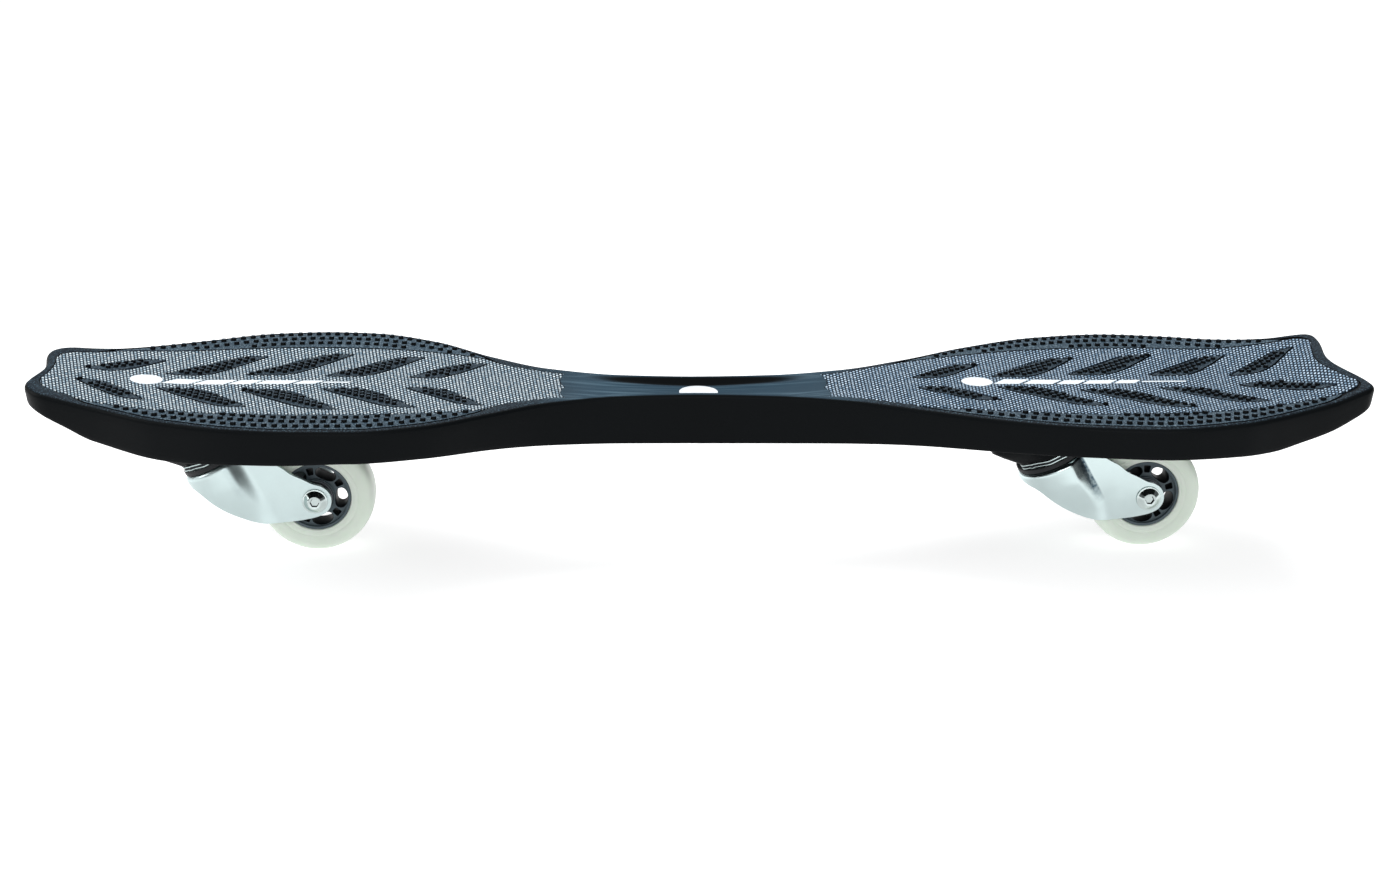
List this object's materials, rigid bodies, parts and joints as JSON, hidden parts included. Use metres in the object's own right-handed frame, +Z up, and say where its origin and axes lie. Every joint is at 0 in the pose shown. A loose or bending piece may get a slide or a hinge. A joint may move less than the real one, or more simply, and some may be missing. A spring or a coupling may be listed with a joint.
{
  "type": "caster board",
  "caption": "Caster board: two textured foot platforms on a narrow flexing waist, riding on tilted swivel casters with pale urethane wheels.",
  "frame": {"origin": "on the ground, under the middle of the board's length and width", "axes": "+X from the nose to the tail, +Y across the board to its left side seen with the nose on the left and the tail on the right, +Z up"},
  "size_m": [0.8572, 0.2284, 0.1295],
  "materials": {
    "deck": "satin moulded black polymer",
    "film": "silver and dark printed woven-look film",
    "badge": "plain white",
    "zinc": "bright zinc plate",
    "steel": "bright steel",
    "seal": "black rubber",
    "tyre": "translucent pale urethane",
    "hub": "charcoal moulded nylon"
  },
  "bodies": {
    "front_deck": {"front_deck": "deck", "front_film": "film", "front_caster_plate": "zinc", "front_plate_screw_front_left": "steel", "front_plate_screw_front_right": "steel", "front_plate_screw_rear_left": "steel", "front_plate_screw_rear_right": "steel", "front_kingpin": "steel", "front_kingpin_nut": "steel", "front_lower_race_cup": "zinc", "waist_badge": "badge"},
    "rear_deck": {"rear_deck": "deck", "rear_film": "film", "rear_caster_plate": "zinc", "rear_plate_screw_front_left": "steel", "rear_plate_screw_front_right": "steel", "rear_plate_screw_rear_left": "steel", "rear_plate_screw_rear_right": "steel", "rear_kingpin": "steel", "rear_kingpin_nut": "steel", "rear_lower_race_cup": "zinc"},
    "front_fork": {"front_fork": "zinc", "front_dust_seal": "seal", "front_upper_ball_race": "steel", "front_lower_ball_race": "steel", "front_axle_bolt": "steel", "front_axle_nut": "steel", "front_axle_washer_left": "steel", "front_axle_washer_right": "steel", "front_bearing_inner_ring_left": "steel", "front_bearing_inner_ring_right": "steel", "front_bearing_spacer": "steel"},
    "front_wheel": {"front_tyre": "tyre", "front_hub": "hub", "front_bearing_outer_ring_left": "steel", "front_bearing_outer_ring_right": "steel", "front_bearing_balls_left": "steel", "front_bearing_balls_right": "steel"},
    "rear_fork": {"rear_fork": "zinc", "rear_dust_seal": "seal", "rear_upper_ball_race": "steel", "rear_lower_ball_race": "steel", "rear_axle_bolt": "steel", "rear_axle_nut": "steel", "rear_axle_washer_left": "steel", "rear_axle_washer_right": "steel", "rear_bearing_inner_ring_left": "steel", "rear_bearing_inner_ring_right": "steel", "rear_bearing_spacer": "steel"},
    "rear_wheel": {"rear_tyre": "tyre", "rear_hub": "hub", "rear_bearing_outer_ring_left": "steel", "rear_bearing_outer_ring_right": "steel", "rear_bearing_balls_left": "steel", "rear_bearing_balls_right": "steel"}
  },
  "joints": [
    {"name": "deck_twist", "type": "hinge", "parent": "front_deck", "child": "rear_deck", "pos_m": [0.0149, 0, 0.095], "axis": [1, 0, 0], "range_deg": [-15, 15], "stiffness_Nm_per_rad": 60},
    {"name": "front_caster_swivel", "type": "hinge", "parent": "front_deck", "child": "front_fork", "pos_m": [-0.31525, 0, 0.06461], "axis": [-0.4695, 0, 0.8829], "continuous": true},
    {"name": "front_wheel_spin", "type": "hinge", "parent": "front_fork", "child": "front_wheel", "pos_m": [-0.2524, 0, 0.038], "axis": [0, 1, 0], "continuous": true},
    {"name": "rear_caster_swivel", "type": "hinge", "parent": "rear_deck", "child": "rear_fork", "pos_m": [0.23605, 0, 0.06461], "axis": [-0.4695, 0, 0.8829], "continuous": true},
    {"name": "rear_wheel_spin", "type": "hinge", "parent": "rear_fork", "child": "rear_wheel", "pos_m": [0.2989, 0, 0.038], "axis": [0, 1, 0], "continuous": true}
  ]
}
